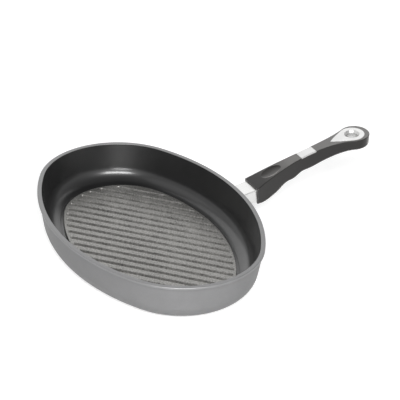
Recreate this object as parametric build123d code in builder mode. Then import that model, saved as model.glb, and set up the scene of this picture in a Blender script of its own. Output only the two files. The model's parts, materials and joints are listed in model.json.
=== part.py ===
from build123d import *

import math
import os

os.makedirs("parts", exist_ok=True)

# The origin is the middle of the base on the worktop, +X points to the handle,
# +Y runs along the oval and +Z is up. Lengths are millimetres, angles degrees.

# Oval pan
rim_half_length = 175.0
rim_half_width = 120.0
rim_end_radius = 97.0
pan_height = 50.0
lip_overhang = 1.2
lip_height = 3.0
lip_rounding = 0.5
wall = 4.0
wall_lean = 8.0
floor_thickness = 5.5
bottom_radius = 22.0
inner_radius = 18.0

# Raised grill field with its slanting grooves and the fat channel round it
field_half_length = 138.5
field_half_width = 88.0
field_end_radius = 72.0
rib_height = 3.0
groove_pitch = 12.1
groove_width = 4.8
groove_draft = 20.0
groove_angle = -45.0
groove_shift = -1.6
groove_end_margin = 3.0
groove_end_rounding = 1.6
smallest_groove = 92.0
channel_width = 4.0
channel_depth = 0.8

# Cast lug in the wall and the bright stub that sits over it
lug_half_width = 8.5
lug_half_height = 4.5
lug_height = 42.0
lug_reach = 11.0
stub_half_width = 12.8
stub_top_at_pan = 48.4
stub_top_at_mouth = 51.2
stub_bottom_at_pan = 35.8
stub_bottom_at_mouth = 33.2
stub_edge = 0.8
fit_gap = 0.2

# Screws that hold the stub on the lug
stub_screw_reach = 5.0
stub_screw_spacing = 9.0
screw_radius = 2.0
screw_head_radius = 3.8
screw_end_margin = 1.2
screw_head_slope = 45.0
hex_key_radius = 1.45
hex_key_depth = 1.6
thread_gap = 0.05

# Tongue of the stub: it plugs into the handle along a tilted axis
plug_tilt = 8.0
tongue_height = 44.5
tongue_length = 25.0
tongue_half_width = 5.0
tongue_half_height = 4.5
tongue_tip_chamfer = 1.2
slide_gap = 0.15
mouth_gap = 0.3

# Catch: sprung nose in a notch of the tongue
notch_depth = 2.0
notch_gap = 0.2
nose_start = 11.2
nose_depth = 1.6
spring_thickness = 1.0
spring_half_width = 3.0
spring_bend = 0.9
spring_lift = 1.6
spring_step = 17.5
spring_step_length = 1.5
spring_end = 27.0
wing_half_width = 7.6
wing_start = 12.6
wing_end = 16.4
rivet_place = 23.0
rivet_radius = 1.5
rivet_head_radius = 2.5
rivet_head_height = 1.0
rivet_head_slope = 20.0

# Steel liner of the handle's socket
liner_side = 1.6
liner_roof = 1.6
liner_floor = 3.2
liner_start = 0.6
liner_end = 28.0
liner_back = 1.6
window_gap = 0.3
liner_screw_place = 22.0
liner_screw_low = -10.6
liner_screw_radius = 2.0
liner_screw_head_radius = 3.2

# Release yoke and the button on its foot
yoke_start = 11.0
yoke_end = 16.5
yoke_thickness = 1.0
yoke_gap = 0.3
yoke_hook = 2.0
button_travel = 2.2
button_start = 9.6
button_end = 17.9
button_half_width = 8.4
button_low = -14.6
button_rounding = 0.8
button_stud_radius = 1.2
button_stud_spacing = 8.0
moving_gap = 0.3
opening_depth = 40.0

# Handle form: the top is one long arc, the plan narrows at the grip and ends in
# a round lobe. Places along it are counted from its mouth.
mouth_reach = 16.5
mouth_top = 53.5
top_angle = 25.5
top_radius = 420.0
mouth_half_width = 15.7
grip_place = 75.5
grip_half_width = 7.0
lobe_place = 142.1
lobe_radius = 18.6
lobe_angle = 115.0
top_edge_radius = 1.0
bottom_edge_radius = 3.5
mid_flank_place = 28.5
mid_flank_half_width = 10.8
flank_slope = 0.24
mouth_bottom = 31.6
end_bottom = 79.6
# Underside from the mouth to the lobe with its two finger bays, as place and height
underside = [
    (13.5, 32.0),
    (24.5, 36.2),
    (34.5, 42.0),
    (45.5, 49.4),
    (55.5, 51.7),
    (66.5, 58.0),
    (77.5, 60.5),
    (91.5, 65.2),
    (109.5, 71.5),
    (129.5, 77.0),
    (147.5, 79.2),
]

# Thumb scoop in the top of the handle
scoop_place = 24.5
scoop_half_length = 14.0
scoop_half_width = 8.2
scoop_depth = 2.6
scoop_tilt = -3.0

# Plain label plate across the grip
label_place = 64.3
label_length = 20.3
label_thickness = 1.0
plate_gap = 0.1

# Teardrop hanging plate with its eyelet
hole_place = 138.5
hole_radius = 7.0
dish_radius = 9.4
dish_depth = 2.6
plate_tip_place = 108.1
plate_end_radius = 15.4
plate_tip_angle = 38.0
plate_join_angle = 118.0
plate_thickness = 1.5
collar_radius = 10.4
collar_depth = 3.4
eyelet_radius = 8.1
washer_radius = 11.5
washer_thickness = 1.5
eyelet_length = 13.7

# How far a cutting shape runs past what it cuts, for small cuts and for whole ones
cut_margin = 1.0
cut_through = 150.0

# Values that follow from the sizes above
lean_angle = math.degrees(math.atan2(wall_lean, pan_height))
rib_top = floor_thickness + rib_height
groove_run = 2 * (field_half_length + field_half_width)
tilt = math.radians(plug_tilt)
mouth_x = rim_half_width + mouth_reach
grip_x = mouth_x + grip_place
lobe_x = mouth_x + lobe_place
mid_flank_x = mouth_x + mid_flank_place
scoop_x = mouth_x + scoop_place
label_start = mouth_x + label_place
label_end = label_start + label_length
hole_x = mouth_x + hole_place
plate_tip_x = mouth_x + plate_tip_place
lug_end_x = rim_half_width + lug_reach
stub_screw_x = rim_half_width + stub_screw_reach
mouth_plane_x = mouth_x + (mouth_top - tongue_height) * math.tan(tilt)
socket_plane = Plane(
    origin=(mouth_plane_x, 0, tongue_height),
    x_dir=(math.cos(tilt), 0, math.sin(tilt)),
    z_dir=(-math.sin(tilt), 0, math.cos(tilt)),
)
socket_side = Plane(
    origin=socket_plane.origin,
    x_dir=socket_plane.x_dir,
    z_dir=(0, -1, 0),
)
arc_centre_x = mouth_x + top_radius * math.sin(math.radians(top_angle))
arc_centre_z = mouth_top - top_radius * math.cos(math.radians(top_angle))
handle_end_x = lobe_x + lobe_radius
bore_half_width = tongue_half_width + slide_gap
bore_half_height = tongue_half_height + slide_gap
liner_half_width = bore_half_width + liner_side
liner_top = bore_half_height + liner_roof
liner_bottom = -bore_half_height - liner_floor
hook_low = liner_top + yoke_gap
hook_high = hook_low + yoke_thickness
spring_low = liner_top + spring_lift
spring_high = spring_low + spring_thickness
yoke_half_width = liner_half_width + yoke_gap + yoke_thickness
foot_high = liner_bottom - button_travel - yoke_gap
foot_low = foot_high - yoke_thickness
spring_room = spring_high + button_travel + moving_gap


def mouth_face_x(height):
    """Where the tilted mouth face stands at this height."""
    return mouth_x + (mouth_top - height) * math.tan(tilt)


def top_arc_angle(x, drop=0.0):
    """Angle on the handle's top arc, or on one drop below it, at this x."""
    return math.degrees(math.acos((x - arc_centre_x) / (top_radius - drop)))


def top_plane(x, turn=0.0):
    """Plane that touches the handle's top at x, with z out of the handle."""
    slope = math.radians(top_arc_angle(x) - 90 + turn)
    height = arc_centre_z + top_radius * math.sin(math.radians(top_arc_angle(x)))
    return Plane(
        origin=(x, 0, height),
        x_dir=(math.cos(slope), 0, math.sin(slope)),
        z_dir=(-math.sin(slope), 0, math.cos(slope)),
    )


def oval(half_length, half_width, end_radius, inset=0.0):
    """Oval of four tangent arcs, its long axis along Y, drawn inset by a distance."""
    end_centre = half_length - end_radius
    side_radius = (end_centre**2 + half_width**2 - end_radius**2) / (2 * (half_width - end_radius))
    side_centre = side_radius - half_width
    join = math.degrees(math.atan2(end_centre, side_centre))
    side = side_radius - inset
    end = end_radius - inset
    with BuildSketch() as shape:
        with BuildLine():
            CenterArc((-side_centre, 0), side, -join, 2 * join)
            CenterArc((0, end_centre), end, join, 180 - 2 * join)
            CenterArc((side_centre, 0), side, 180 - join, 2 * join)
            CenterArc((0, -end_centre), end, 180 + join, 180 - 2 * join)
        make_face()
    return shape.sketch


def rim_oval(inset=0.0):
    return oval(rim_half_length, rim_half_width, rim_end_radius, inset)


def field_oval(inset=0.0):
    return oval(field_half_length, field_half_width, field_end_radius, inset)


def bar(near, far, half_width, low, high, mode=Mode.ADD):
    """Block in the socket's own axes, centred across, added to the part being built."""
    with BuildSketch(socket_plane.offset(low)) as footprint:
        with Locations(((near + far) / 2, 0)):
            Rectangle(far - near, 2 * half_width)
    extrude(footprint.sketch, amount=high - low, mode=mode)


def side_bars(near, far, inner, outer, low, high, mode=Mode.ADD):
    """Two equal blocks in the socket's axes, one on each side of the middle."""
    with BuildSketch(socket_plane.offset(low)) as footprint:
        for side in (1, -1):
            with Locations(((near + far) / 2, side * (inner + outer) / 2)):
                Rectangle(far - near, outer - inner)
    extrude(footprint.sketch, amount=high - low, mode=mode)


def top_band(start, end, thickness):
    """Closed strip under the handle's top arc between two x places, in the XZ plane."""
    low_radius = top_radius - thickness
    with BuildSketch(Plane.XZ) as strip:
        with BuildLine():
            upper = CenterArc(
                (arc_centre_x, arc_centre_z),
                top_radius + cut_margin,
                top_arc_angle(end, -cut_margin),
                top_arc_angle(start, -cut_margin) - top_arc_angle(end, -cut_margin),
            )
            lower = CenterArc(
                (arc_centre_x, arc_centre_z),
                low_radius,
                top_arc_angle(end, thickness),
                top_arc_angle(start, thickness) - top_arc_angle(end, thickness),
            )
            Line(upper @ 0, lower @ 0)
            Line(upper @ 1, lower @ 1)
        make_face()
    return strip.sketch


def countersunk_screw(plane, length, radius, head_radius):
    """Countersunk screw, its flat head's middle on the plane and its shank along +z."""
    with BuildPart() as screw:
        with BuildSketch(plane):
            Circle(radius)
        extrude(amount=length)
        with BuildSketch(plane):
            Circle(head_radius)
        extrude(amount=head_radius - radius, taper=screw_head_slope)
        with BuildSketch(plane):
            RegularPolygon(hex_key_radius, 6)
        extrude(amount=hex_key_depth, mode=Mode.SUBTRACT)
    return screw.part


# Outside of the pan as one block
with BuildPart() as pan_form:
    with BuildSketch():
        add(rim_oval(lip_overhang + wall_lean))
    extrude(amount=pan_height, taper=-lean_angle)
    fillet(pan_form.edges().group_by(Axis.Z)[0], bottom_radius)
    with BuildSketch(Plane.XY.offset(pan_height - lip_height)):
        add(rim_oval())
    extrude(amount=lip_height)

# The space inside the pan
with BuildPart() as bowl_space:
    floor_inset = lip_overhang + wall_lean * (1 - floor_thickness / pan_height) + wall
    with BuildSketch(Plane.XY.offset(floor_thickness)):
        add(rim_oval(floor_inset))
    extrude(amount=pan_height, taper=-lean_angle)
    fillet(bowl_space.edges().group_by(Axis.Z)[0], inner_radius)

# Cast pan with its lug, grill ribs and fat channel
with BuildPart() as pan_body:
    add(pan_form.part)
    with Locations(((rim_half_width - wall + lug_end_x) / 2, 0, lug_height)):
        Box(lug_reach + wall, 2 * lug_half_width, 2 * lug_half_height)
    add(bowl_space.part, mode=Mode.SUBTRACT)
    fillet(pan_body.edges().group_by(Axis.Z)[-1], lip_rounding)
    with BuildSketch(Plane.XY.offset(floor_thickness)):
        add(field_oval(-channel_width))
    extrude(amount=-channel_depth, mode=Mode.SUBTRACT)
    with BuildSketch(Plane.XY.offset(floor_thickness - channel_depth)):
        add(field_oval())
    extrude(amount=rib_height + channel_depth)
    groove_count = int((field_half_length + field_half_width) / groove_pitch)
    with BuildSketch(Plane.XY.offset(rib_top)) as grooves:
        for number in range(-groove_count, groove_count + 1):
            across = groove_shift + number * groove_pitch
            turn = math.radians(groove_angle)
            place = (-math.sin(turn) * across, math.cos(turn) * across)
            with Locations(Location(place, groove_angle)):
                Rectangle(groove_run, groove_width)
        add(field_oval(groove_end_margin), mode=Mode.INTERSECT)
        small = grooves.faces().filter_by(lambda face: face.area < smallest_groove)
        add(small, mode=Mode.SUBTRACT)
        fillet(grooves.vertices(), groove_end_rounding)
    extrude(amount=-rib_height, taper=groove_draft, mode=Mode.SUBTRACT)
    with BuildSketch(Plane.XY.offset(lug_height - lug_half_height)):
        with Locations((stub_screw_x, 0)):
            with GridLocations(0, stub_screw_spacing, 1, 2):
                Circle(screw_radius + thread_gap)
    extrude(amount=2 * lug_half_height - screw_end_margin, mode=Mode.SUBTRACT)
pan_body.part.label = "pan_body"
export_step(pan_body.part, "parts/pan_body.step")

# Screws of the stub, driven up from below
stub_screw_low = stub_bottom_at_pan + (stub_bottom_at_mouth - stub_bottom_at_pan) * (
    stub_screw_x - rim_half_width
) / (mouth_face_x(stub_bottom_at_mouth) - rim_half_width)
stub_screw_length = lug_height + lug_half_height - 2 * screw_end_margin - stub_screw_low
with BuildPart() as stub_screws:
    for side in (1, -1):
        screw_plane = Plane((stub_screw_x, side * stub_screw_spacing / 2, stub_screw_low))
        add(countersunk_screw(screw_plane, stub_screw_length, screw_radius, screw_head_radius))
stub_screws.part.label = "stub_screws"
export_step(stub_screws.part, "parts/stub_screws.step")

# Bright stub with its tongue
with BuildPart() as handle_stub:
    with BuildSketch(Plane.XZ):
        with BuildLine():
            Polyline(
                (rim_half_width - wall_lean, stub_bottom_at_pan),
                (rim_half_width, stub_bottom_at_pan),
                (mouth_face_x(stub_bottom_at_mouth) - mouth_gap, stub_bottom_at_mouth),
                (mouth_face_x(stub_top_at_mouth) - mouth_gap, stub_top_at_mouth),
                (rim_half_width, stub_top_at_pan),
                (rim_half_width - wall_lean, stub_top_at_pan),
                close=True,
            )
        make_face()
    extrude(amount=stub_half_width, both=True)
    lengthwise = handle_stub.edges().filter_by(
        lambda edge: abs(edge.tangent_at(0.5).X) > abs(edge.tangent_at(0.5).Z)
    )
    chamfer(lengthwise, stub_edge)
    bar(-mouth_gap - cut_margin, tongue_length, tongue_half_width, -tongue_half_height, tongue_half_height)
    tip_edges = handle_stub.faces().sort_by(socket_plane.location.x_axis)[-1].edges()
    chamfer(tip_edges, tongue_tip_chamfer)
    bar(
        nose_start - notch_gap,
        nose_start + spring_thickness + notch_gap,
        tongue_half_width,
        tongue_half_height - notch_depth,
        tongue_half_height,
        mode=Mode.SUBTRACT,
    )
    with Locations(((rim_half_width + lug_end_x) / 2, 0, lug_height)):
        Box(
            lug_reach + 2 * wall,
            2 * (lug_half_width + fit_gap),
            2 * (lug_half_height + fit_gap),
            mode=Mode.SUBTRACT,
        )
    add(pan_form.part, mode=Mode.SUBTRACT)
    add(stub_screws.part, mode=Mode.SUBTRACT)
handle_stub.part.label = "handle_stub"
export_step(handle_stub.part, "parts/handle_stub.step")

# Outside of the plastic handle: its side view cut to its plan
with BuildPart() as handle_form:
    with BuildSketch(Plane.XZ):
        with BuildLine():
            crown = CenterArc(
                (arc_centre_x, arc_centre_z),
                top_radius,
                top_arc_angle(handle_end_x),
                top_arc_angle(mouth_x) - top_arc_angle(handle_end_x),
            )
            belly = Spline(
                (mouth_face_x(mouth_bottom), mouth_bottom),
                *[(mouth_x + place, height) for place, height in underside],
                (handle_end_x, end_bottom),
            )
            Line(crown @ 1, belly @ 0)
            Line(crown @ 0, belly @ 1)
        make_face()
    extrude(amount=2 * lobe_radius, both=True)
    with BuildSketch():
        with BuildLine():
            lobe = CenterArc((lobe_x, 0), lobe_radius, -lobe_angle, 2 * lobe_angle)
            flank = Spline(
                (mouth_x, mouth_half_width),
                (mid_flank_x, mid_flank_half_width),
                (grip_x, grip_half_width),
                lobe @ 1,
                tangents=[(1, -flank_slope), lobe % 1 * -1],
            )
            mirror(flank, about=Plane.XZ)
            Line((mouth_x, mouth_half_width), (mouth_x, -mouth_half_width))
        make_face()
    extrude(amount=cut_through, mode=Mode.INTERSECT)
    faces_by_slope = handle_form.faces().sort_by(lambda face: face.normal_at().Z)
    bottom_edges = faces_by_slope[0].edges().filter_by_position(Axis.X, mid_flank_x, handle_end_x)
    top_edges = faces_by_slope[-1].edges().filter_by_position(Axis.X, mid_flank_x, handle_end_x)
    fillet(bottom_edges, bottom_edge_radius)
    fillet(top_edges, top_edge_radius)

hang_plane = top_plane(hole_x)


def teardrop(gap=0.0):
    """Outline of the hanging plate, widened by a gap."""
    radius = plate_end_radius + gap
    tip = (plate_tip_x - gap, 0)
    slope = math.radians(plate_tip_angle)
    with BuildSketch() as outline:
        with BuildLine():
            round_end = CenterArc((hole_x, 0), radius, -plate_join_angle, 2 * plate_join_angle)
            side = Spline(
                tip,
                round_end @ 1,
                tangents=[(math.cos(slope), math.sin(slope)), round_end % 1 * -1],
            )
            mirror(side, about=Plane.XZ)
        make_face()
    return outline.sketch


def thumb_scoop():
    """Spindle that dishes the handle's top for the thumb."""
    across = (scoop_half_width**2 + scoop_depth**2) / (2 * scoop_depth)
    along = (scoop_half_length**2 + scoop_depth**2) / (2 * scoop_depth)
    plane = top_plane(scoop_x, scoop_tilt)
    axis_line = plane.offset(across - scoop_depth)
    reach = math.sqrt(along**2 - (along - across) ** 2)
    with BuildPart() as spindle:
        with BuildSketch(Plane(axis_line.origin, x_dir=plane.x_dir, z_dir=(0, -1, 0))):
            with BuildLine():
                RadiusArc((-reach, 0), (reach, 0), along)
                Line((-reach, 0), (reach, 0))
            make_face()
        revolve(axis=Axis(axis_line.origin, plane.x_dir))
    return spindle.part


# Recess for the hanging plate, taken out of the handle as one block
with BuildPart() as plate_recess:
    extrude(teardrop(plate_gap), amount=cut_through)
    recess_band = top_band(plate_tip_x - plate_gap - cut_margin, handle_end_x - cut_margin, plate_thickness)
    extrude(recess_band, amount=lobe_radius, both=True, mode=Mode.INTERSECT)
    with BuildSketch(hang_plane):
        Circle(collar_radius + plate_gap)
    extrude(amount=-collar_depth - plate_gap)
    with BuildSketch(hang_plane):
        Circle(eyelet_radius + plate_gap)
    extrude(amount=-eyelet_length)
    with BuildSketch(hang_plane.offset(washer_thickness - eyelet_length)):
        Circle(washer_radius + plate_gap)
    extrude(amount=-2 * washer_thickness)

# Handle moulding with its socket, spring room, button slot, recesses and hanging hole
with BuildPart() as handle_shell:
    add(handle_form.part)
    bar(
        -mouth_gap,
        liner_end + plate_gap,
        liner_half_width + plate_gap,
        liner_bottom - plate_gap,
        liner_top + plate_gap,
        mode=Mode.SUBTRACT,
    )
    bar(
        yoke_start - moving_gap,
        spring_step + spring_step_length + moving_gap,
        wing_half_width + moving_gap,
        liner_top,
        spring_room,
        mode=Mode.SUBTRACT,
    )
    bar(
        spring_step,
        spring_end + plate_gap,
        spring_half_width + plate_gap,
        liner_top,
        liner_top + spring_thickness + rivet_head_height + plate_gap,
        mode=Mode.SUBTRACT,
    )
    bar(
        yoke_start - moving_gap,
        yoke_end + moving_gap,
        yoke_half_width + moving_gap,
        -opening_depth,
        spring_room,
        mode=Mode.SUBTRACT,
    )
    bar(
        button_start - moving_gap,
        button_end + moving_gap,
        button_half_width + moving_gap,
        -opening_depth,
        liner_bottom - plate_gap,
        mode=Mode.SUBTRACT,
    )
    with BuildSketch(socket_plane.offset(liner_screw_low)):
        with Locations((liner_screw_place, 0)):
            Circle(liner_screw_radius + thread_gap)
    extrude(amount=liner_bottom - liner_screw_low, mode=Mode.SUBTRACT)
    with BuildSketch(socket_plane.offset(liner_screw_low)):
        with Locations((liner_screw_place, 0)):
            Circle(liner_screw_head_radius + thread_gap)
    head_depth = liner_screw_head_radius - liner_screw_radius
    extrude(amount=head_depth, taper=screw_head_slope, mode=Mode.SUBTRACT)
    with BuildSketch(socket_plane.offset(liner_screw_low)):
        with Locations((liner_screw_place, 0)):
            Circle(liner_screw_head_radius + thread_gap)
    extrude(amount=-opening_depth, mode=Mode.SUBTRACT)
    add(thumb_scoop(), mode=Mode.SUBTRACT)
    label_recess = top_band(label_start, label_end, label_thickness)
    extrude(label_recess, amount=lobe_radius, both=True, mode=Mode.SUBTRACT)
    add(plate_recess.part, mode=Mode.SUBTRACT)
handle_shell.part.label = "handle_shell"
export_step(handle_shell.part, "parts/handle_shell.step")

# Plain label plate, flush with the handle's outside
with BuildPart() as label_plate:
    add(handle_form.part)
    label_band = top_band(label_start + plate_gap, label_end - plate_gap, label_thickness)
    extrude(label_band, amount=lobe_radius, both=True, mode=Mode.INTERSECT)
label_plate.part.label = "label_plate"
export_step(label_plate.part, "parts/label_plate.step")

# Teardrop hanging plate with its dished collar and eyelet tube
with BuildPart() as hanging_plate:
    add(handle_form.part)
    plate_band = top_band(plate_tip_x - cut_margin, handle_end_x - cut_margin, plate_thickness)
    extrude(plate_band, amount=lobe_radius, both=True, mode=Mode.INTERSECT)
    extrude(teardrop(), amount=cut_through, mode=Mode.INTERSECT)
    with BuildSketch(hang_plane.offset(-plate_thickness / 2)):
        Circle(collar_radius)
    extrude(amount=plate_thickness / 2 - collar_depth)
    with BuildSketch(hang_plane.offset(-plate_thickness)):
        Circle(eyelet_radius)
    extrude(amount=plate_thickness - eyelet_length)
    with BuildSketch(hang_plane.offset(plate_thickness)):
        Circle(hole_radius)
    extrude(amount=-2 * eyelet_length, mode=Mode.SUBTRACT)
    with BuildSketch(hang_plane.offset(-dish_depth)):
        Circle(hole_radius)
    dish_slope = math.degrees(math.atan2(dish_radius - hole_radius, dish_depth))
    extrude(amount=dish_depth + plate_thickness, taper=-dish_slope, mode=Mode.SUBTRACT)
hanging_plate.part.label = "hanging_plate"
export_step(hanging_plate.part, "parts/hanging_plate.step")

# Ring under the handle that the eyelet is spread over
with BuildPart() as eyelet_washer:
    with BuildSketch(hang_plane.offset(-eyelet_length)):
        Circle(washer_radius)
        Circle(eyelet_radius, mode=Mode.SUBTRACT)
    extrude(amount=washer_thickness)
eyelet_washer.part.label = "eyelet_washer"
export_step(eyelet_washer.part, "parts/eyelet_washer.step")

# Steel liner of the socket, with the nose's window and its screw and rivet holes
with BuildPart() as socket_liner:
    bar(liner_start, liner_end, liner_half_width, liner_bottom, liner_top)
    bar(
        -mouth_gap,
        liner_end - liner_back,
        bore_half_width,
        -bore_half_height,
        bore_half_height,
        mode=Mode.SUBTRACT,
    )
    bar(
        nose_start - window_gap,
        nose_start + spring_thickness + window_gap,
        spring_half_width + window_gap,
        0,
        liner_top,
        mode=Mode.SUBTRACT,
    )
    with BuildSketch(socket_plane):
        with Locations((rivet_place, 0)):
            Circle(rivet_radius)
    extrude(amount=liner_top, mode=Mode.SUBTRACT)
    with BuildSketch(socket_plane):
        with Locations((liner_screw_place, 0)):
            Circle(liner_screw_radius + thread_gap)
    extrude(amount=liner_bottom, mode=Mode.SUBTRACT)
socket_liner.part.label = "socket_liner"
export_step(socket_liner.part, "parts/socket_liner.step")

# Screw that holds the liner in the handle, driven up from below
with BuildPart() as liner_screw:
    liner_screw_plane = Plane(socket_plane.offset(liner_screw_low) * Pos(liner_screw_place, 0, 0))
    liner_screw_length = -bore_half_height - fit_gap - liner_screw_low
    add(
        countersunk_screw(
            liner_screw_plane, liner_screw_length, liner_screw_radius, liner_screw_head_radius
        )
    )
liner_screw.part.label = "liner_screw"
export_step(liner_screw.part, "parts/liner_screw.step")

# Leaf spring with its catch nose and two wings
with BuildPart() as catch_spring:
    middle = spring_thickness / 2
    with BuildSketch(socket_side):
        with BuildLine():
            FilletPolyline(
                (spring_end, liner_top + middle),
                (spring_step + spring_step_length, liner_top + middle),
                (spring_step, spring_low + middle),
                (nose_start + middle, spring_low + middle),
                (nose_start + middle, tongue_half_height - nose_depth),
                radius=spring_bend,
            )
        trace(line_width=spring_thickness)
    extrude(amount=spring_half_width, both=True)
    bar(wing_start, wing_end, wing_half_width, spring_low, spring_high)
    with BuildSketch(socket_plane):
        with Locations((rivet_place, 0)):
            Circle(rivet_radius)
    extrude(amount=spring_high, mode=Mode.SUBTRACT)
catch_spring.part.label = "catch_spring"
export_step(catch_spring.part, "parts/catch_spring.step")

# Rivet that holds the spring on the liner
with BuildPart() as spring_rivet:
    with BuildSketch(socket_plane.offset(bore_half_height + thread_gap)):
        with Locations((rivet_place, 0)):
            Circle(rivet_radius)
    extrude(amount=liner_roof + spring_thickness)
    with BuildSketch(socket_plane.offset(liner_top + spring_thickness)):
        with Locations((rivet_place, 0)):
            Circle(rivet_head_radius)
    extrude(amount=rivet_head_height, taper=rivet_head_slope)
spring_rivet.part.label = "spring_rivet"
export_step(spring_rivet.part, "parts/spring_rivet.step")

# Yoke that straddles the liner and lifts the spring's wings
with BuildPart() as release_yoke:
    bar(yoke_start, yoke_end, yoke_half_width, foot_low, foot_high)
    yoke_inside = yoke_half_width - yoke_thickness
    side_bars(yoke_start, yoke_end, yoke_inside, yoke_half_width, foot_low, hook_high)
    side_bars(yoke_start, yoke_end, yoke_inside - yoke_hook, yoke_half_width, hook_low, hook_high)
    with BuildSketch(socket_plane.offset(foot_low)):
        with Locations(((yoke_start + yoke_end) / 2, 0)):
            with GridLocations(0, button_stud_spacing, 1, 2):
                Circle(button_stud_radius)
    extrude(amount=yoke_thickness, mode=Mode.SUBTRACT)
release_yoke.part.label = "release_yoke"
export_step(release_yoke.part, "parts/release_yoke.step")

# Push button under the handle, staked to the yoke
with BuildPart() as release_button:
    bar(button_start, button_end, button_half_width, button_low, foot_low)
    low_face = release_button.faces().sort_by(socket_plane.location.z_axis)[0]
    fillet(low_face.edges(), button_rounding)
    with BuildSketch(socket_plane.offset(foot_low)):
        with Locations(((yoke_start + yoke_end) / 2, 0)):
            with GridLocations(0, button_stud_spacing, 1, 2):
                Circle(button_stud_radius)
    extrude(amount=yoke_thickness)
release_button.part.label = "release_button"
export_step(release_button.part, "parts/release_button.step")
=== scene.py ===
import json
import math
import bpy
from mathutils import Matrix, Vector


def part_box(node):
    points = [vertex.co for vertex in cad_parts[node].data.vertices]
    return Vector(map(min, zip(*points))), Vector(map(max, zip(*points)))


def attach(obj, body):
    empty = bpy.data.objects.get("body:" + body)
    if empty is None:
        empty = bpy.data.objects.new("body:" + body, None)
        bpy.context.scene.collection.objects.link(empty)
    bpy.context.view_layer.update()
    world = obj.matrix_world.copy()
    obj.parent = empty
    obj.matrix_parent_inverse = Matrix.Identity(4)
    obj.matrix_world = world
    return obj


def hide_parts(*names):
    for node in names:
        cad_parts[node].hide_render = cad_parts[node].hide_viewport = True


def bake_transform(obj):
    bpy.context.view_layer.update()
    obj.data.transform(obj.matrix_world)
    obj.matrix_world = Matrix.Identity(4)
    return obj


bl_info = {
    "name": "Fish grill pan",
    "version": (1, 0, 0),
    "blender": (4, 5, 0),
    "location": "3D View > Sidebar > Grill Pan",
    "description": "Builds the oval grill pan's casting and finishes its handle, on a plain stage",
    "category": "Add Mesh",
}

import bmesh
import bpy
from mathutils import Matrix, Vector

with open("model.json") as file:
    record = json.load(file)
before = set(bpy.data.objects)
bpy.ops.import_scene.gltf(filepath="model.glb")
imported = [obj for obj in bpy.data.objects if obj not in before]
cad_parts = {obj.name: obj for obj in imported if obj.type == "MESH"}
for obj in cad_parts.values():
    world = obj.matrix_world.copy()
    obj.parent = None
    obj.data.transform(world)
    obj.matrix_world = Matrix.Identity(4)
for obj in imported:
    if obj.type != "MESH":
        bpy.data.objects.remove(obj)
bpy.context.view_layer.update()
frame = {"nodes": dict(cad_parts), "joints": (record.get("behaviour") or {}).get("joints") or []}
pan_low, pan_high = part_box("pan_body")
shell_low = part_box("handle_shell")[0]

MM = 0.001
UP = (0.0, 0.0, 1.0)
WHITE = (1.0, 1.0, 1.0, 1.0)
SENSOR_WIDTH = 36.0

# The lowest value, in metres, of a size that may be negative
LOWEST = -9.0

# Corners nearer than MERGE_GAP are one, and heights nearer than LEVEL_GAP are level
MERGE_GAP = 0.005 * MM
LEVEL_GAP = 0.02 * MM

# A face whose normal points down more than DOWNWARD is outside the pan, and one whose
# normal is more upright than LEVEL_NORMAL is flat
DOWNWARD = 0.05
LEVEL_NORMAL = 0.99999

# The casting's coats, in the order of its material slots
INSIDE, OUTSIDE, RIBS, LIP = range(4)

# Sockets of a Mix node for colours
MIX_FIRST, MIX_SECOND, MIX_RESULT = 6, 7, 2

# Most of a noise lies between these two values
NOISE_LOW, NOISE_HIGH = 0.3, 0.7

# Scales of the noises in the coats, the metals, the plastic and the floor, per metre
COAT_CLOUDS, COAT_GRAIN, COAT_PEEL = 55.0, 480.0, 1400.0
METAL_SMEARS = 90.0
PLASTIC_WEAR, PLASTIC_GRAIN = 60.0, 2200.0
FLOOR_CLOUDS = 4.0

# Heights of the small reliefs, and roundings of the metal and plastic edges
PEEL_HEIGHT, CAST_HEIGHT = 0.06 * MM, 0.16 * MM
BRUSHED_HEIGHT, MOULDED_HEIGHT = 0.02 * MM, 0.05 * MM
METAL_EDGE, PLASTIC_EDGE = 0.25 * MM, 0.35 * MM

# Gloss of the clear coat, the plastic and the floor
CLEAR_ROUGHNESS, FLOOR_ROUGHNESS = 0.22, 0.8
PLASTIC_GLOSS, PLASTIC_SHEEN, SHEEN_ROUGHNESS = 0.38, 0.8, 0.3
SHEEN_TINT = (1.0, 0.97, 0.94, 1.0)

# Grain of the brushed and turned metals along X, Y and Z, per metre
STUB_GRAIN = (40.0, 3500.0, 3500.0)
SCREW_GRAIN = (900.0, 900.0, 200.0)
LABEL_GRAIN = (3000.0, 60.0, 3000.0)
HANGING_GRAIN = (60.0, 3000.0, 3000.0)
CATCH_GRAIN = (120.0, 1400.0, 1400.0)

# The handle's top gets a painted sheen, a paler grey: it grows pale from the first to the second
# distance behind its mouth, where its normal is more upright than the first slope, and has its
# full tone where it is more so than the second
PAINTED_SHEEN_GREY = (0.145, 0.141, 0.137, 1.0)
PAINTED_SHEEN_START, PAINTED_SHEEN_FULL = 12.0 * MM, 50.0 * MM
PAINTED_SHEEN_UPRIGHT_START, PAINTED_SHEEN_UPRIGHT_FULL = 0.75, 0.95

# The surroundings fade between these heights of a direction, from 0 level to 1 straight up
FADE_START, FADE_END = 0.1, 0.9

# Soft lamps: name, azimuth and elevation in degrees, distance, width and height in metres,
# and brightness
LAMPS = (
    ("back_softbox", (72.0, 37.0), 1.7, 2.0, 1.2, 0.95),
    ("key_softbox", (-114.0, 40.0), 1.8, 1.25, 0.38, 24.5),
    ("front_softbox", (-120.0, 9.0), 1.8, 0.8, 0.35, 14.5),
    ("left_softbox", (150.0, 48.0), 1.5, 1.0, 0.8, 0.6),
)


def length(name, words, value, low=0.0):
    """A size in metres that a user can change, down to low."""
    return bpy.props.FloatProperty(
        name=name, description=words, default=value, min=low, unit="LENGTH", precision=5
    )


def angle(name, words, degrees):
    """An angle that a user can change."""
    return bpy.props.FloatProperty(
        name=name, description=words, default=math.radians(degrees), subtype="ANGLE"
    )


def colour(name, words, value):
    """A plain colour that a user can change."""
    return bpy.props.FloatVectorProperty(
        name=name, description=words, default=value, min=0.0, max=1.0, subtype="COLOR", size=3
    )


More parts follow.
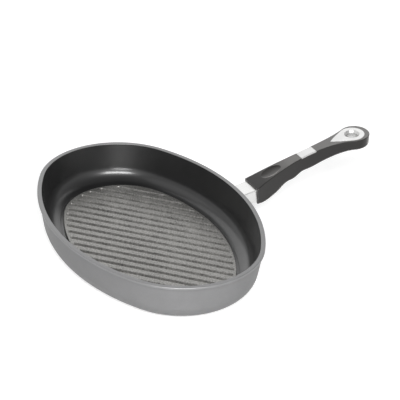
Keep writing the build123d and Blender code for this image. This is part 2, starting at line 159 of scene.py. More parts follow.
def share(name, words, value):
    """A number from 0 to 1 that a user can change."""
    return bpy.props.FloatProperty(
        name=name, description=words, default=value, min=0.0, max=1.0, subtype="FACTOR"
    )


class CastingSizes(bpy.types.PropertyGroup):
    """Sizes of the cast pan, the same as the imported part's"""

    rim_half_length: length("Rim half length", "Half of the rim along the oval", pan_high.y)
    rim_half_width: length("Rim half width", "Half of the rim across the oval", -pan_low.x)
    rim_end_radius: length("Rim end radius", "Radius of the rim's two ends", 97.0 * MM)
    height: length("Height", "From the worktop to the top of the rim", pan_high.z)
    lip_overhang: length("Lip overhang", "How far the lip stands out", 1.2 * MM)
    lip_height: length("Lip height", "Height of the lip at the rim", 3.0 * MM)
    lip_rounding: length("Lip rounding", "Radius of the lip's edges", 0.7 * MM)
    wall: length("Wall", "Thickness of the wall", 4.0 * MM)
    wall_lean: length("Wall lean", "How far the wall leans out over its height", 8.0 * MM)
    floor: length("Floor", "Thickness of the floor between the ribs", 5.5 * MM)
    bottom_radius: length("Bottom radius", "Outer radius between base and wall", 22.0 * MM)
    inner_radius: length("Inner radius", "Inner radius between floor and wall", 18.0 * MM)
    field_half_length: length("Field half length", "Half of the rib field's length", 138.5 * MM)
    field_half_width: length("Field half width", "Half of the rib field's width", 88.0 * MM)
    field_end_radius: length("Field end radius", "Radius of the field's ends", 72.0 * MM)
    rib_height: length("Rib height", "Height of the ribs over the floor", 3.0 * MM)
    channel_width: length("Channel width", "Fat channel round the field", 4.0 * MM)
    channel_depth: length("Channel depth", "Depth of the fat channel", 0.8 * MM)
    groove_pitch: length("Groove pitch", "From one groove to the next", 12.1 * MM)
    groove_width: length("Groove width", "Width of a groove at its top", 4.8 * MM)
    groove_shift: length("Groove shift", "Where the middle groove runs", -1.6 * MM, LOWEST)
    groove_margin: length("Groove margin", "Rib left at each groove's end", 3.0 * MM)
    groove_corner: length("Groove corner", "Rounding of a groove's ends", 1.9 * MM)
    groove_draft: angle("Groove draft", "Slope of a groove's sides", 20.0)
    groove_angle: angle("Groove angle", "Direction of the grooves", -45.0)
    rib_edge: length("Rib edge", "Rounding along the top of the ribs", 0.55 * MM)
    rib_foot: length("Rib foot", "Rounding at the bottom of the grooves", 0.7 * MM)


class LeafSizes(bpy.types.PropertyGroup):
    """Where the leaf spring bends, counted from its catch along the handle's slide"""

    bend_end: length("Bend end", "Where the leaf has its full lift", 5.4 * MM)
    bend_root: length("Bend root", "Where the leaf starts to lift", 9.2 * MM)


class FinishColours(bpy.types.PropertyGroup):
    """Colours of the finishes"""

    coat_inside: colour("Inside coat", "Non-stick coat inside the pan", (0.007, 0.007, 0.0072))
    coat_ribs: colour("Rib coat", "Blasted coat of the rib field", (0.200, 0.197, 0.188))
    # The lip's coat is lighter than the outside coat, so the rim reads as a bright band
    coat_lip: colour("Lip coat", "Thin coat on the turned lip", (0.24, 0.24, 0.242))
    coat_outside: colour("Outside coat", "Satin coat outside the pan", (0.175, 0.175, 0.177))
    stub: colour("Stub", "Bright aluminium of the stub", (0.66, 0.66, 0.652))
    handle: colour("Handle", "Dark plastic of the handle", (0.009, 0.0083, 0.0078))
    plate: colour("Plate", "Satin metal of the label and hanging plates", (0.64, 0.64, 0.635))
    steel: colour("Steel", "Plain steel of the screws and the catch", (0.55, 0.55, 0.54))
    floor: colour("Worktop", "Pale floor under the pan", (0.52, 0.52, 0.52))


class StageSettings(bpy.types.PropertyGroup):
    """Where the camera stands, and how white the floor and the surroundings are"""

    camera_x: length("Camera X", "Where the camera stands along the handle", -0.753545, LOWEST)
    camera_y: length("Camera Y", "Where the camera stands along the oval", -1.474754, LOWEST)
    camera_z: length("Camera Z", "How high the camera stands", 1.013672)
    aim_x: length("Aim X", "Point in the middle of the picture", 0.0905476, LOWEST)
    aim_y: length("Aim Y", "Point in the middle of the picture", 0.041862, LOWEST)
    aim_z: length("Aim Z", "Point in the middle of the picture", 0.020)
    floor_size: length("Worktop size", "Side of the pale floor", 6.0)
    floor_drop: length("Worktop drop", "How far the floor lies under the pan's base", 0.1 * MM)
    floor_glow: share("Worktop glow", "Extra white of the floor where it is seen", 0.7)
    shade_reach: length("Shade reach", "How far from the pan the floor keeps its shade", 0.45)
    white_reach: length("White reach", "Where the floor has become plain white", 1.1)
    overhead: share("Overhead", "How bright the surroundings are above the pan", 0.25)
    ambient: share("Ambient", "Light of the white surroundings on the pan", 0.16)
    roll: angle("Roll", "How far the camera leans to one side", 2.6047)
    lens: bpy.props.FloatProperty(
        name="Lens", description="Focal length on a 36 mm sensor", default=148.10, unit="CAMERA"
    )


def add_node(tree, kind, inputs=None, **settings):
    """Adds a shader node and sets its options and unlinked inputs."""
    made = tree.nodes.new(kind)
    for key, value in settings.items():
        setattr(made, key, value)
    for key, value in (inputs or {}).items():
        if isinstance(value, bpy.types.NodeSocket):
            tree.links.new(value, made.inputs[key])
        else:
            made.inputs[key].default_value = value
    return made


def maths(tree, operation, first, second=0.0, clamp=False):
    """The result of an operation on two sockets or numbers."""
    made = add_node(
        tree, "ShaderNodeMath", {0: first, 1: second}, operation=operation, use_clamp=clamp
    )
    return made.outputs[0]


def map_range(tree, value, low, high, to_low=0.0, to_high=1.0):
    """Carries value from the range low..high to to_low..to_high."""
    made = add_node(
        tree,
        "ShaderNodeMapRange",
        {"Value": value, "From Min": low, "From Max": high, "To Min": to_low, "To Max": to_high},
    )
    return made.outputs["Result"]


def noise(tree, vector, scale, detail=3.0, rough=0.55):
    """Even noise from 0 to 1 in the piece's own space."""
    made = add_node(
        tree,
        "ShaderNodeTexNoise",
        {"Vector": vector, "Scale": scale, "Detail": detail, "Roughness": rough},
    )
    return made.outputs["Fac"]


def varied(tree, factor, middle, spread):
    """A value that a noise moves up and down by spread."""
    return map_range(tree, factor, NOISE_LOW, NOISE_HIGH, middle - spread, middle + spread)


def stretched(tree, vector, scale):
    """The piece's own space stretched along an axis, for a brushed grain."""
    made = add_node(tree, "ShaderNodeMapping", {"Vector": vector, "Scale": scale})
    return made.outputs["Vector"]


def blended(tree, factor, first, second):
    """A colour between two, by a factor from 0 to 1."""
    inputs = {"Factor": factor, MIX_FIRST: first, MIX_SECOND: second}
    return add_node(tree, "ShaderNodeMix", inputs, data_type="RGBA").outputs[MIX_RESULT]


def tinted(tree, factor, colour_value, darker, lighter):
    """The colour made a little darker or lighter by a factor from 0 to 1."""
    dark = [channel * darker for channel in colour_value] + [1.0]
    light = [channel * lighter for channel in colour_value] + [1.0]
    return blended(tree, factor, dark, light)


def bumped(tree, height, strength, distance, normal=None):
    """Small relief of a noise from 0 to 1, on top of an earlier relief if there is one."""
    inputs = {"Height": height, "Strength": strength, "Distance": distance}
    if normal is not None:
        inputs["Normal"] = normal
    return add_node(tree, "ShaderNodeBump", inputs).outputs["Normal"]


def soft_edge(tree, radius):
    """A normal that rounds a piece's sharp edges."""
    return add_node(tree, "ShaderNodeBevel", {"Radius": radius}, samples=4).outputs["Normal"]


def new_finish(name):
    """An empty finish: its material, node tree, shader and object-space vector."""
    finish = bpy.data.materials.new(name)
    finish.use_nodes = True
    tree = finish.node_tree
    shader = tree.nodes["Principled BSDF"]
    place = add_node(tree, "ShaderNodeTexCoord").outputs["Object"]
    return finish, tree, shader, place


def seen_directly(tree):
    """1 where the camera, a mirror or glass looks at it, and 0 for its light on other things."""
    path = add_node(tree, "ShaderNodeLightPath").outputs
    mirrored = maths(tree, "MAXIMUM", path["Is Glossy Ray"], path["Is Transmission Ray"])
    return maths(tree, "MAXIMUM", path["Is Camera Ray"], mirrored)


def coat_finish(name, base, roughness, metallic, gloss, mottle, clear=0.0):
    """Satin non-stick coat on cast aluminium, with its fine orange peel and casting mottle."""
    finish, tree, shader, place = new_finish(name)
    clouds = noise(tree, place, COAT_CLOUDS, detail=2.0)
    peel = noise(tree, place, COAT_PEEL, detail=2.0)
    grain = noise(tree, place, COAT_GRAIN, rough=0.65)
    spots = map_range(tree, grain, low=0.35, high=0.65, to_low=-mottle, to_high=mottle)
    shade = maths(tree, "ADD", clouds, spots, clamp=True)
    toned = tinted(tree, shade, base, darker=0.95 - 0.4 * mottle, lighter=1.05 + 0.6 * mottle)
    tree.links.new(toned, shader.inputs["Base Color"])
    clouded = varied(tree, clouds, roughness, spread=0.03)
    spotted = maths(tree, "MULTIPLY", spots, 0.06)
    tree.links.new(maths(tree, "ADD", clouded, spotted), shader.inputs["Roughness"])
    shader.inputs["Metallic"].default_value = metallic
    shader.inputs["Specular IOR Level"].default_value = gloss
    shader.inputs["Coat Weight"].default_value = clear
    shader.inputs["Coat Roughness"].default_value = CLEAR_ROUGHNESS
    peeled = bumped(tree, peel, 0.30, PEEL_HEIGHT)
    relief = bumped(tree, grain, 0.15 + 0.6 * mottle, CAST_HEIGHT, peeled)
    tree.links.new(relief, shader.inputs["Normal"])
    return finish


def metal_finish(name, base, roughness, grain, contrast=1.0):
    """Satin metal with a fine grain along one direction."""
    finish, tree, shader, place = new_finish(name)
    lines = noise(tree, stretched(tree, place, grain), scale=1.0, detail=2.0)
    smears = noise(tree, place, METAL_SMEARS, detail=2.0)
    toned = tinted(tree, lines, base, darker=1.0 - 0.07 * contrast, lighter=1.0 + 0.05 * contrast)
    tree.links.new(toned, shader.inputs["Base Color"])
    brushed = varied(tree, lines, roughness, spread=0.05)
    smeared = varied(tree, smears, 0.0, spread=0.03)
    tree.links.new(maths(tree, "ADD", brushed, smeared), shader.inputs["Roughness"])
    shader.inputs["Metallic"].default_value = 1.0
    edge = soft_edge(tree, METAL_EDGE)
    relief = bumped(tree, lines, 0.35 * contrast, BRUSHED_HEIGHT, edge)
    tree.links.new(relief, shader.inputs["Normal"])
    return finish


def plastic_finish(name, base, roughness, painted_sheen=None):
    """Heat-proof moulding with an even grain, and a painted sheen on its top behind the mouth when
    that span is given.
    """
    finish, tree, shader, place = new_finish(name)
    grain = noise(tree, place, PLASTIC_GRAIN, detail=2.0, rough=0.6)
    wear = noise(tree, place, PLASTIC_WEAR)
    toned = tinted(tree, wear, base, darker=0.85, lighter=1.2)
    # Painted sheen: the upright top behind the mouth is blended towards a paler grey
    if painted_sheen is not None:
        start, full = painted_sheen
        facing = add_node(tree, "ShaderNodeTexCoord").outputs["Normal"]
        upward = add_node(tree, "ShaderNodeSeparateXYZ", {"Vector": facing}).outputs["Z"]
        along = add_node(tree, "ShaderNodeSeparateXYZ", {"Vector": place}).outputs["X"]
        on_top = map_range(tree, upward, PAINTED_SHEEN_UPRIGHT_START, PAINTED_SHEEN_UPRIGHT_FULL)
        behind_mouth = map_range(tree, along, start, full)
        painted_sheen_share = maths(tree, "MULTIPLY", on_top, behind_mouth)
        painted_sheen_share = maths(tree, "MULTIPLY", painted_sheen_share, varied(tree, wear, 0.9, spread=0.1))
        toned = blended(tree, painted_sheen_share, toned, PAINTED_SHEEN_GREY)
    tree.links.new(toned, shader.inputs["Base Color"])
    worn = varied(tree, wear, roughness, spread=0.04)
    grained = varied(tree, grain, 0.0, spread=0.03)
    tree.links.new(maths(tree, "ADD", worn, grained), shader.inputs["Roughness"])
    shader.inputs["Specular IOR Level"].default_value = PLASTIC_GLOSS
    shader.inputs["Sheen Weight"].default_value = PLASTIC_SHEEN
    shader.inputs["Sheen Roughness"].default_value = SHEEN_ROUGHNESS
    shader.inputs["Sheen Tint"].default_value = SHEEN_TINT
    edge = soft_edge(tree, PLASTIC_EDGE)
    relief = bumped(tree, grain, 0.3, MOULDED_HEIGHT, edge)
    tree.links.new(relief, shader.inputs["Normal"])
    return finish


def paint_node(name, finish):
    """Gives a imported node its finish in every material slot."""
    piece = frame["nodes"][name]
    if not piece.material_slots:
        raise RuntimeError("node " + name + " has no material slot")
    for holder in piece.material_slots:
        holder.material = finish


def rounded_line(corners, steps):
    """Points of a line whose corners (x, y, radius) are rounded."""
    points = []
    for index, (x, y, radius) in enumerate(corners):
        here = Vector((x, y))
        if radius == 0.0 or index in (0, len(corners) - 1):
            points.append(here)
            continue
        back = (Vector(corners[index - 1][:2]) - here).normalized()
        ahead = (Vector(corners[index + 1][:2]) - here).normalized()
        half = math.acos(max(-1.0, min(1.0, back.dot(ahead)))) / 2
        centre = here + (back + ahead).normalized() * radius / math.sin(half)
        start = here + back * radius / math.tan(half) - centre
        turn = math.pi - 2 * half
        side = 1.0 if back.x * ahead.y - back.y * ahead.x < 0 else -1.0
        for step in range(steps + 1):
            points.append(centre + Matrix.Rotation(side * turn * step / steps, 2) @ start)
    return points


class Oval:
    """Oval of four tangent arcs with its long axis along Y."""

    def __init__(self, half_length, half_width, end_radius):
        self.end_radius = end_radius
        self.end_centre = half_length - end_radius
        self.side_radius = (self.end_centre**2 + half_width**2 - end_radius**2) / (
            2 * (half_width - end_radius)
        )
        self.side_centre = self.side_radius - half_width
        self.join = math.atan2(self.end_centre, self.side_centre)

    def beyond(self, point):
        """How far outside the oval a point lies, negative inside."""
        x, y = abs(point.x), abs(point.y)
        if math.atan2(y, x + self.side_centre) < self.join:
            return math.hypot(x + self.side_centre, y) - self.side_radius
        return math.hypot(x, y - self.end_centre) - self.end_radius

    def sweep(self, mesh, line, side_steps, end_steps):
        """Spins a line of (outwards, height) points round the oval."""
        out = Vector((math.cos(self.join), -math.sin(self.join)))
        centre = Vector((-self.side_centre, 0.0))
        corners = []
        for outwards, height in line:
            spot = centre + out * (self.side_radius + outwards)
            corners.append(mesh.verts.new((spot.x, spot.y, height)))
        cut = corners + [mesh.edges.new(pair) for pair in zip(corners, corners[1:])]
        side_turn = 2 * self.join
        end_turn = math.pi - side_turn
        for middle, turn, steps in (
            ((-self.side_centre, 0.0, 0.0), side_turn, side_steps),
            ((0.0, self.end_centre, 0.0), end_turn, end_steps),
            ((self.side_centre, 0.0, 0.0), side_turn, side_steps),
            ((0.0, -self.end_centre, 0.0), end_turn, end_steps),
        ):
            cut = bmesh.ops.spin(
                mesh, geom=cut, cent=middle, axis=UP, dvec=(0.0, 0.0, 0.0),
                angle=turn, steps=steps, use_merge=False, use_duplicate=False,
            )["geom_last"]


def open_loops(mesh, height):
    """Edges with one face that lie at a given height."""
    return [
        edge
        for edge in mesh.edges
        if edge.is_boundary and all(abs(v.co.z - height) < LEVEL_GAP for v in edge.verts)
    ]


def finish_mesh(name, mesh, finishes, replaced):
    """Makes a closed bmesh a piece that stands for a node."""
    if any(not edge.is_manifold for edge in mesh.edges):
        raise RuntimeError("the piece " + name + " isn't closed")
    data = bpy.data.meshes.new(name)
    mesh.to_mesh(data)
    mesh.free()
    piece = bpy.data.objects.new(name, data)
    bpy.context.scene.collection.objects.link(piece)
    for finish in finishes:
        data.materials.append(finish)
    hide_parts(replaced)
    return piece


class PAN_OT_casting(bpy.types.Operator):
    """Builds the cast pan with its lip, its fat channel and its grooved rib field"""

    bl_idname = "pan.casting"
    bl_label = "Cast pan"

    # Steps round the oval's long and short arcs, and round its small and large radii
    side_steps = 44
    end_steps = 60
    round_steps = 4
    wall_steps = 12

    # Steps in which the field's edge is sought, and the least area of a groove at its top
    search_steps = 40
    smallest_groove = 92.0 * MM**2

    def wall_line(self, sizes):
        """Line of the wall from the floor over the rim to the base, as (outwards, height)."""
        lean = sizes.wall_lean / sizes.height
        outer_foot = -sizes.lip_overhang - sizes.wall_lean
        under_lip = sizes.height - sizes.lip_height
        inner_foot = outer_foot - sizes.wall + sizes.floor * lean
        inner_top = -sizes.lip_overhang - sizes.wall
        inside = rounded_line(
            [
                (inner_foot - 2 * sizes.inner_radius, sizes.floor, 0.0),
                (inner_foot, sizes.floor, sizes.inner_radius),
                (inner_top, sizes.height, 0.0),
            ],
            self.wall_steps,
        )[2:-1]
        rim = rounded_line(
            [
                (*inside[-1], 0.0),
                (inner_top, sizes.height, sizes.lip_rounding),
                (0.0, sizes.height, sizes.lip_rounding),
                (0.0, under_lip, sizes.lip_rounding / 2),
                (-sizes.lip_overhang - sizes.lip_height * lean, under_lip, sizes.lip_rounding / 2),
                (outer_foot + sizes.bottom_radius * lean, sizes.bottom_radius, 0.0),
            ],
            self.round_steps,
        )[1:-1]
        outside = rounded_line(
            [
                (*rim[-1], 0.0),
                (outer_foot, 0.0, sizes.bottom_radius),
                (outer_foot - 2 * sizes.bottom_radius, 0.0, 0.0),
            ],
            self.wall_steps,
        )[1:-1]
        return inside + rim + outside

    def field_line(self, sizes):
        """Line of the fat channel and the field's side, as (outwards, height)."""
        rib_top = sizes.floor + sizes.rib_height
        low = sizes.floor - sizes.channel_depth
        small = sizes.rib_edge / 2
        return rounded_line(
            [
                (2 * sizes.channel_width, sizes.floor, 0.0),
                (sizes.channel_width, sizes.floor, small),
                (sizes.channel_width, low, small),
                (0.0, low, small),
                (0.0, rib_top, sizes.rib_edge),
                (-2 * sizes.rib_edge, rib_top, 0.0),
            ],
            self.round_steps,
        )[1:-1]

    def groove_ends(self, sizes, field, offset, margin):
        """Where a line along the grooves meets the field's edge, at a distance across them."""
        along = Vector((math.cos(sizes.groove_angle), math.sin(sizes.groove_angle)))
        across = Vector((-along.y, along.x)) * offset
        reach = 2 * sizes.field_half_length
        places = (
            across + along * reach * step / self.search_steps
            for step in range(-self.search_steps, self.search_steps + 1)
        )
        deepest = min(places, key=field.beyond)
        if field.beyond(deepest) + margin > 0:
            return None
        ends = []
        for way in (-1.0, 1.0):
            near, far = 0.0, reach
            for _ in range(self.search_steps):
                middle = (near + far) / 2
                if field.beyond(deepest + along * way * middle) + margin < 0:
                    near = middle
                else:
                    far = middle
            ends.append(deepest + along * way * near)
        return ends

    def cut_grooves(self, mesh, sizes, field):
        """Lays out each groove on the rib tops and sinks it in rounded steps."""
        rib_top = sizes.floor + sizes.rib_height
        foot = sizes.rib_height * math.tan(sizes.groove_draft)
        section = rounded_line(
            [
                (-2 * sizes.rib_edge, 0.0, 0.0),
                (0.0, 0.0, sizes.rib_edge),
                (foot, -sizes.rib_height, sizes.rib_foot),
                (foot + 2 * sizes.rib_foot, -sizes.rib_height, 0.0),
            ],
            self.round_steps,
        )[1:-1]
        outset = -section[0].x
        half = sizes.groove_width / 2 + outset
        margin = sizes.groove_margin - outset
        corner = sizes.groove_corner + outset
        count = int((sizes.field_half_length + sizes.field_half_width) / sizes.groove_pitch)
        for number in range(-count, count + 1):
            middle = sizes.groove_shift + number * sizes.groove_pitch
            low_ends = self.groove_ends(sizes, field, middle - half, margin)
            high_ends = self.groove_ends(sizes, field, middle + half, margin)
            if low_ends is None or high_ends is None:
                continue
            start = (low_ends[0] + low_ends[1]) / 2
            corners = [low_ends[1], high_ends[1], high_ends[0], low_ends[0]]
            outline = rounded_line(
                [(*start, 0.0)] + [(*spot, corner) for spot in corners] + [(*start, 0.0)],
                2 * self.round_steps,
            )[1:-1]
            face = mesh.faces.new([mesh.verts.new((spot.x, spot.y, rib_top)) for spot in outline])
            if face.calc_area() - face.calc_perimeter() * outset < self.smallest_groove:
                bmesh.ops.delete(mesh, geom=[face], context="FACES")
        for face in mesh.faces:
            face.normal_update()
        grooves = mesh.faces[:]
        bmesh.ops.reverse_faces(mesh, faces=[face for face in grooves if face.normal.z < 0])
        for before, after in zip(section, section[1:]):
            bmesh.ops.inset_individual(
                mesh, faces=grooves, thickness=after.x - before.x, depth=after.y - before.y,
                use_even_offset=True,
            )

    def coat_of(self, face, sizes, rim, field):
        """Which coat a face has, from where it lies on the pan."""
        spot = face.calc_center_median()
        beyond = rim.beyond(spot)
        lip_foot = sizes.height - sizes.lip_height + LEVEL_GAP
        lip_inside = -sizes.lip_overhang - sizes.wall + LEVEL_GAP
        if spot.z > lip_foot and beyond > lip_inside:
            return LIP
        lean = sizes.wall_lean / sizes.height
        wall_middle = -sizes.lip_overhang - (sizes.height - spot.z) * lean - sizes.wall / 2
        if face.normal.z < -DOWNWARD or beyond > wall_middle:
            return OUTSIDE
        return RIBS if field.beyond(spot) < 0.0 else INSIDE

    def make_coats(self, colours):
        """The casting's coats, in the order of its material slots."""
        return [
            coat_finish(
                "coat_inside", colours.coat_inside,
                roughness=0.44, metallic=0.0, gloss=0.33, mottle=0.1, clear=0.9,
            ),
            coat_finish(
                "coat_outside", colours.coat_outside,
                roughness=0.50, metallic=0.0, gloss=0.3, mottle=0.1,
            ),
            coat_finish(
                "coat_ribs", colours.coat_ribs,
                roughness=0.33, metallic=0.65, gloss=0.7, mottle=0.6,
            ),
            # The lip's coat is lighter and more metallic than the outside coat, so the rim reads
            # as a bright band
            coat_finish(
                "coat_lip", colours.coat_lip,
                roughness=0.48, metallic=0.9, gloss=0.5, mottle=0.1,
            ),
        ]

    def execute(self, context):
        sizes = context.scene.pan_casting
        rim = Oval(sizes.rim_half_length, sizes.rim_half_width, sizes.rim_end_radius)
        field = Oval(sizes.field_half_length, sizes.field_half_width, sizes.field_end_radius)
        mesh = bmesh.new()
        self.cut_grooves(mesh, sizes, field)
        wall_line = self.wall_line(sizes)
        rim.sweep(mesh, wall_line, self.side_steps, self.end_steps)
        field.sweep(mesh, self.field_line(sizes), self.side_steps, self.end_steps)
        bmesh.ops.remove_doubles(mesh, verts=mesh.verts, dist=MERGE_GAP)
        bmesh.ops.triangle_fill(
            mesh, use_beauty=True, use_dissolve=False, normal=UP,
            edges=open_loops(mesh, sizes.floor + sizes.rib_height),
        )
        floor_ring = open_loops(mesh, sizes.floor) + open_loops(mesh, wall_line[0].y)
        bmesh.ops.bridge_loops(mesh, edges=floor_ring)
        bmesh.ops.contextual_create(mesh, geom=open_loops(mesh, 0.0))
        bmesh.ops.recalc_face_normals(mesh, faces=mesh.faces)
        if mesh.calc_volume(signed=True) < 0:
            bmesh.ops.reverse_faces(mesh, faces=mesh.faces)
        for face in mesh.faces:
            face.smooth = abs(face.normal.z) < LEVEL_NORMAL
            face.material_index = self.coat_of(face, sizes, rim, field)
        coats = self.make_coats(context.scene.pan_finishes)
        casting = finish_mesh("pan_casting", mesh, coats, "pan_body")
        normals = casting.modifiers.new("Weighted normals", "WEIGHTED_NORMAL")
        normals.keep_sharp = True
        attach(casting, "pan")
        return {"FINISHED"}


class PAN_OT_stub(bpy.types.Operator):
    """Finishes the bright stub and the screws that hold it on the wall"""

    bl_idname = "pan.stub"
    bl_label = "Stub and screws"

    def execute(self, context):
        colours = context.scene.pan_finishes
        bright = metal_finish("stub_bright", colours.stub, 0.30, STUB_GRAIN, contrast=0.3)
        paint_node("handle_stub", bright)
        paint_node("stub_screws", metal_finish("screw_steel", colours.steel, 0.35, SCREW_GRAIN))
        return {"FINISHED"}


class PAN_OT_handle(bpy.types.Operator):
    """Finishes the handle's moulding and the release button under it"""

    bl_idname = "pan.handle"
    bl_label = "Handle and button"

    def execute(self, context):
        colours = context.scene.pan_finishes
        # The span behind the handle's mouth where its top gets a painted sheen
        painted_sheen = (shell_low.x + PAINTED_SHEEN_START, shell_low.x + PAINTED_SHEEN_FULL)
        paint_node("handle_shell", plastic_finish("handle_moulding", colours.handle, 0.38, painted_sheen))
        paint_node("release_button", plastic_finish("button_moulding", colours.handle, 0.36))
        return {"FINISHED"}


class PAN_OT_plates(bpy.types.Operator):
    """Finishes the plain label plate, the hanging plate and its eyelet washer"""

    bl_idname = "pan.plates"
    bl_label = "Plates and eyelet"

    def execute(self, context):
        colours = context.scene.pan_finishes
        paint_node("label_plate", metal_finish("label_satin", colours.plate, 0.34, LABEL_GRAIN))
        hanging = metal_finish("hanging_satin", colours.plate, 0.36, HANGING_GRAIN)
        paint_node("hanging_plate", hanging)
        paint_node("eyelet_washer", hanging)
        return {"FINISHED"}


class PAN_OT_catch(bpy.types.Operator):
    """Builds the leaf spring of the catch and finishes the steel pieces round it"""

    bl_idname = "pan.catch"
    bl_label = "Catch and liner"

    bend_steps = 8

    def add_leaf(self, sizes, steel):
        """Makes the leaf spring with rows of edges where it bends as the yoke lifts it."""
        slide = next(joint for joint in frame["joints"] if joint["name"] == "handle_slide")
        along = Vector(slide["axis"]).normalized()
        mesh = bmesh.new()
        mesh.from_mesh(frame["nodes"]["catch_spring"].data)
        bmesh.ops.remove_doubles(mesh, verts=mesh.verts, dist=MERGE_GAP)
        catch_end = min(corner.co.dot(along) for corner in mesh.verts)
        bend_length = sizes.bend_root - sizes.bend_end
        for step in range(self.bend_steps + 1):
            place = catch_end + sizes.bend_end + bend_length * step / self.bend_steps
            bmesh.ops.bisect_plane(
                mesh, geom=mesh.verts[:] + mesh.edges[:] + mesh.faces[:],
                plane_co=along * place, plane_no=along,
            )
        leaf = finish_mesh("catch_leaf", mesh, [steel], "catch_spring")
        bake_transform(leaf)

    def execute(self, context):
        colours = context.scene.pan_finishes
        steel = metal_finish("catch_steel", colours.steel, 0.38, CATCH_GRAIN)
        self.add_leaf(context.scene.pan_leaf, steel)
        for name in ("socket_liner", "liner_screw", "spring_rivet", "release_yoke"):
            paint_node(name, steel)
        return {"FINISHED"}


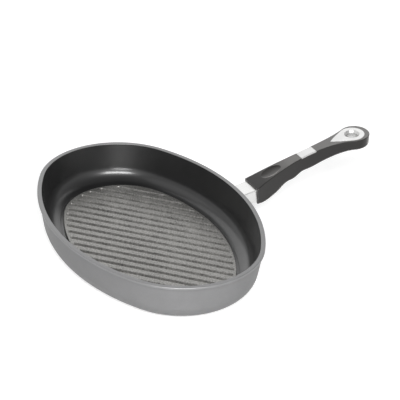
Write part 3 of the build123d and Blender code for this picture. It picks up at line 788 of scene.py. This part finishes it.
class PAN_OT_stage(bpy.types.Operator):
    """Sets the floor, the lamps, the white surroundings and the camera"""

    bl_idname = "pan.stage"
    bl_label = "Floor, lamps and camera"

    def add_floor(self, context):
        """Lays the pale floor, which fades to white away from the pan."""
        stage = context.scene.pan_stage
        mesh = bmesh.new()
        bmesh.ops.create_grid(mesh, x_segments=1, y_segments=1, size=stage.floor_size / 2)
        bmesh.ops.translate(mesh, verts=mesh.verts, vec=(0.0, 0.0, -stage.floor_drop))
        data = bpy.data.meshes.new("worktop")
        mesh.to_mesh(data)
        mesh.free()
        floor = bpy.data.objects.new("worktop", data)
        context.scene.collection.objects.link(floor)
        finish, tree, shader, place = new_finish("worktop_pale")
        base = context.scene.pan_finishes.floor
        clouds = noise(tree, place, FLOOR_CLOUDS)
        toned = tinted(tree, clouds, base, darker=0.99, lighter=1.01)
        tree.links.new(toned, shader.inputs["Base Color"])
        shader.inputs["Roughness"].default_value = FLOOR_ROUGHNESS
        shader.inputs["Specular IOR Level"].default_value = 0.0
        shader.inputs["Emission Color"].default_value = WHITE
        away = add_node(tree, "ShaderNodeVectorMath", {0: place}, operation="LENGTH")
        glow = map_range(
            tree, away.outputs["Value"], stage.shade_reach, stage.white_reach, stage.floor_glow
        )
        seen = maths(tree, "MULTIPLY", seen_directly(tree), glow)
        tree.links.new(seen, shader.inputs["Emission Strength"])
        data.materials.append(finish)

    def add_lamp(self, context, name, way, distance, wide, high, strength):
        """Adds a soft lamp that shines on the pan from a direction."""
        lamp = bpy.data.lights.new(name, "AREA")
        lamp.shape = "RECTANGLE"
        lamp.size = wide
        lamp.size_y = high
        lamp.energy = strength * math.pi * wide * high
        holder = bpy.data.objects.new(name, lamp)
        context.scene.collection.objects.link(holder)
        stage = context.scene.pan_stage
        target = Vector((stage.aim_x, stage.aim_y, stage.aim_z))
        azimuth, elevation = (math.radians(part) for part in way)
        towards = Vector(
            (
                math.cos(elevation) * math.cos(azimuth),
                math.cos(elevation) * math.sin(azimuth),
                math.sin(elevation),
            )
        )
        holder.location = target + towards * distance
        holder.rotation_euler = towards.to_track_quat("Z", "Y").to_euler()

    def add_surroundings(self, context):
        """Makes the white surroundings, plain white to the camera and dimmer as light."""
        world = bpy.data.worlds.new("white_surroundings")
        world.use_nodes = True
        context.scene.world = world
        tree = world.node_tree
        shader = tree.nodes["Background"]
        shader.inputs["Color"].default_value = WHITE
        stage = context.scene.pan_stage
        way = add_node(tree, "ShaderNodeTexCoord").outputs["Generated"]
        height = add_node(tree, "ShaderNodeSeparateXYZ", {"Vector": way}).outputs["Z"]
        fading = map_range(tree, height, FADE_START, FADE_END, 1.0, stage.overhead)
        whole = map_range(tree, seen_directly(tree), 0.0, 1.0, to_low=stage.ambient)
        path = add_node(tree, "ShaderNodeLightPath").outputs
        lit = maths(tree, "MULTIPLY", fading, whole)
        seen = maths(tree, "MAXIMUM", lit, path["Is Camera Ray"])
        tree.links.new(seen, shader.inputs["Strength"])

    def add_camera(self, context):
        """Sets the photo's camera."""
        stage = context.scene.pan_stage
        lens = bpy.data.cameras.new("photo_camera")
        lens.lens = stage.lens
        lens.sensor_width = SENSOR_WIDTH
        lens.dof.use_dof = False
        camera = bpy.data.objects.new("photo_camera", lens)
        context.scene.collection.objects.link(camera)
        place = Vector((stage.camera_x, stage.camera_y, stage.camera_z))
        sight = place - Vector((stage.aim_x, stage.aim_y, stage.aim_z))
        turn = sight.to_track_quat("Z", "Y").to_matrix().to_4x4()
        camera.matrix_world = (
            Matrix.Translation(place) @ turn @ Matrix.Rotation(stage.roll, 4, "Z")
        )
        context.scene.camera = camera

    def execute(self, context):
        context.scene.view_settings.view_transform = "Standard"
        self.add_floor(context)
        self.add_surroundings(context)
        for lamp in LAMPS:
            self.add_lamp(context, *lamp)
        self.add_camera(context)
        return {"FINISHED"}


class PAN_PT_parts(bpy.types.Panel):
    """Lists the pan's pieces and their sizes"""

    bl_label = "Grill pan"
    bl_idname = "PAN_PT_parts"
    bl_space_type = "VIEW_3D"
    bl_region_type = "UI"
    bl_category = "Grill Pan"

    def draw(self, context):
        for operator in OPERATORS:
            self.layout.operator(operator.bl_idname)
        for settings in GROUPS:
            group = getattr(context.scene, settings)
            box = self.layout.box()
            for name in group.bl_rna.properties.keys():
                if name not in ("rna_type", "name"):
                    box.prop(group, name)


OPERATORS = (
    PAN_OT_casting,
    PAN_OT_stub,
    PAN_OT_handle,
    PAN_OT_plates,
    PAN_OT_catch,
    PAN_OT_stage,
)
GROUPS = {
    "pan_casting": CastingSizes,
    "pan_leaf": LeafSizes,
    "pan_finishes": FinishColours,
    "pan_stage": StageSettings,
}


def register():
    for group in GROUPS.values():
        bpy.utils.register_class(group)
    for operator in OPERATORS:
        bpy.utils.register_class(operator)
    bpy.utils.register_class(PAN_PT_parts)
    for name, group in GROUPS.items():
        setattr(bpy.types.Scene, name, bpy.props.PointerProperty(type=group))


def unregister():
    for name in GROUPS:
        delattr(bpy.types.Scene, name)
    bpy.utils.unregister_class(PAN_PT_parts)
    for operator in reversed(OPERATORS):
        bpy.utils.unregister_class(operator)
    for group in reversed(list(GROUPS.values())):
        bpy.utils.unregister_class(group)


def main():
    register()
    bpy.ops.pan.casting()
    bpy.ops.pan.stub()
    bpy.ops.pan.handle()
    bpy.ops.pan.plates()
    bpy.ops.pan.catch()
    bpy.ops.pan.stage()


if __name__ == "__main__":
    main()
